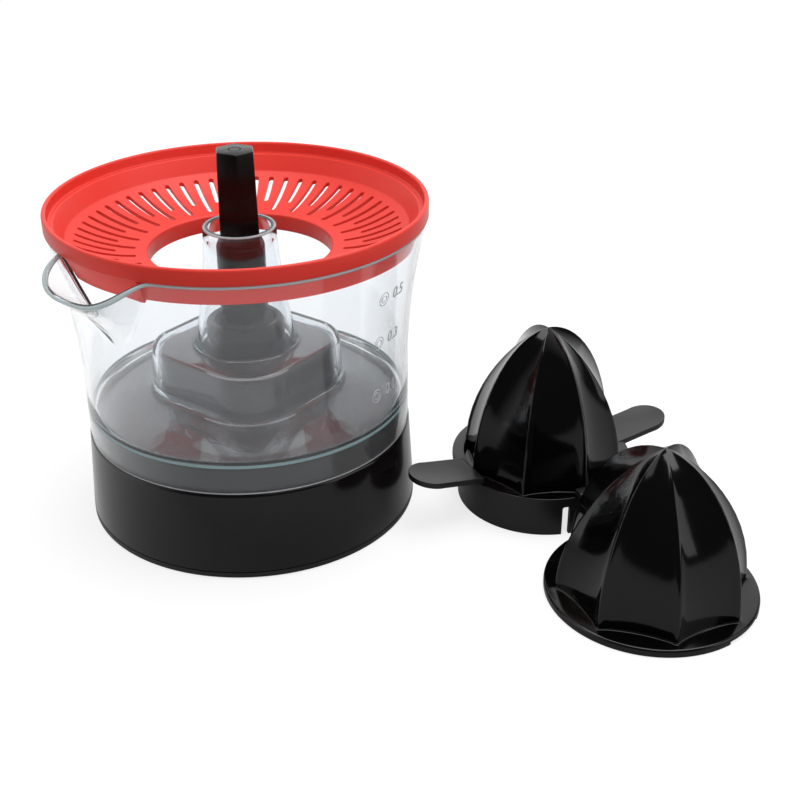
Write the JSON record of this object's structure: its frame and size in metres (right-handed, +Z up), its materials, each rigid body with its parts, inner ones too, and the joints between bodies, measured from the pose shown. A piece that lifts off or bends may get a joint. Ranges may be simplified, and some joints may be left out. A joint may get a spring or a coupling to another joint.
{
  "type": "electric citrus press",
  "caption": "Electric citrus press: black motor base, clear jug with a pouring spout, slotted red strainer on its rim, hex drive shaft, and a small and a large ridged cone standing beside it.",
  "frame": {"origin": "on the table under the drive axis, at the level of the feet's undersides", "axes": "+Z up along the drive axis, -Y towards the jug's spout, +Y towards the cord inlet at the back, +X towards the loose cones"},
  "size_m": [0.2751, 0.2044, 0.144],
  "materials": {
    "black_gloss": "gloss",
    "black_satin": "satin",
    "black_rubber": "matt",
    "steel": "zinc plated",
    "white_nylon": "satin",
    "brass": "plain",
    "copper_wire": "lacquered",
    "dark_magnet": "ferrite",
    "clear_plastic": "clear gloss",
    "red_plastic": "satin gloss"
  },
  "bodies": {
    "base": {"base_shell": "black_gloss", "base_plate": "black_satin", "rubber_feet": "black_rubber", "base_screws": "steel", "cord_gland": "black_satin", "gear_plate": "black_satin", "gear_plate_screws": "steel", "neck_bush": "white_nylon", "spindle_seal": "black_rubber", "motor_case": "steel", "motor_cover": "steel", "motor_screws": "steel", "lower_motor_bush": "brass", "upper_motor_bush": "brass", "lower_pole_plate": "steel", "upper_pole_plate": "steel", "stator_bobbin": "white_nylon", "stator_coil": "copper_wire", "gear_pin": "steel", "return_spring": "steel", "lever_pin": "steel", "switch_case": "black_satin", "switch_screws": "steel", "switch_terminals": "brass"},
    "press": {"thrust_cup": "white_nylon"},
    "spindle": {"drive_spindle": "black_gloss", "spindle_clip": "steel", "output_gear": "white_nylon"},
    "idler": {"compound_gear": "white_nylon"},
    "rotor": {"rotor_magnet": "dark_magnet", "rotor_hub": "white_nylon", "motor_shaft": "steel", "motor_pinion": "brass"},
    "lever": {"switch_lever": "white_nylon"},
    "button": {"switch_button": "red_plastic"},
    "jug_body": {"jug": "clear_plastic"},
    "strainer_body": {"strainer": "red_plastic"},
    "small_cone_body": {"small_cone": "black_gloss"},
    "large_cone_body": {"large_cone": "black_gloss"}
  },
  "joints": [
    {"name": "spindle_press", "type": "slide", "parent": "base", "child": "press", "axis": [0, 0, -1], "range_m": [0, 0.0025], "stiffness_N_per_m": 2000, "springref_m": -0.001, "deforming": ["return_spring"]},
    {"name": "spindle_spin", "type": "hinge", "parent": "press", "child": "spindle", "pos_m": [0, 0, 0.1], "axis": [0, 0, 1], "continuous": true},
    {"name": "idler_spin", "type": "hinge", "parent": "base", "child": "idler", "pos_m": [0.01414, 0.01414, 0.045], "axis": [0, 0, 1], "continuous": true},
    {"name": "rotor_spin", "type": "hinge", "parent": "base", "child": "rotor", "pos_m": [0.02489, 0.02489, 0.03], "axis": [0, 0, 1], "continuous": true},
    {"name": "lever_tilt", "type": "hinge", "parent": "base", "child": "lever", "pos_m": [0, -0.04, 0.02785], "axis": [-1, 0, 0], "range_deg": [0, 3.8]},
    {"name": "button_press", "type": "slide", "parent": "base", "child": "button", "axis": [0, 0, -1], "range_m": [0, 0.001]},
    {"name": "jug_lift", "type": "slide", "parent": "base", "child": "jug_body", "axis": [0, 0, 1], "range_m": [0, 0.115]},
    {"name": "strainer_lift", "type": "slide", "parent": "jug_body", "child": "strainer_body", "axis": [0, 0, 1], "range_m": [0, 0.06]},
    {"name": "small_cone_lift", "type": "slide", "parent": "base", "child": "small_cone_body", "axis": [0, 0.28, 0.96], "range_m": [0, 0.18]},
    {"name": "large_cone_lift", "type": "slide", "parent": "base", "child": "large_cone_body", "axis": [0, 0, 1], "range_m": [0, 0.18]}
  ],
  "couplings": [
    {"joint": "idler_spin", "follows": "spindle_spin", "ratio": -4},
    {"joint": "rotor_spin", "follows": "spindle_spin", "ratio": 11.2},
    {"joint": "lever_tilt", "follows": "spindle_press", "rad_per_m": 26},
    {"joint": "button_press", "follows": "spindle_press", "ratio": 0.4}
  ]
}
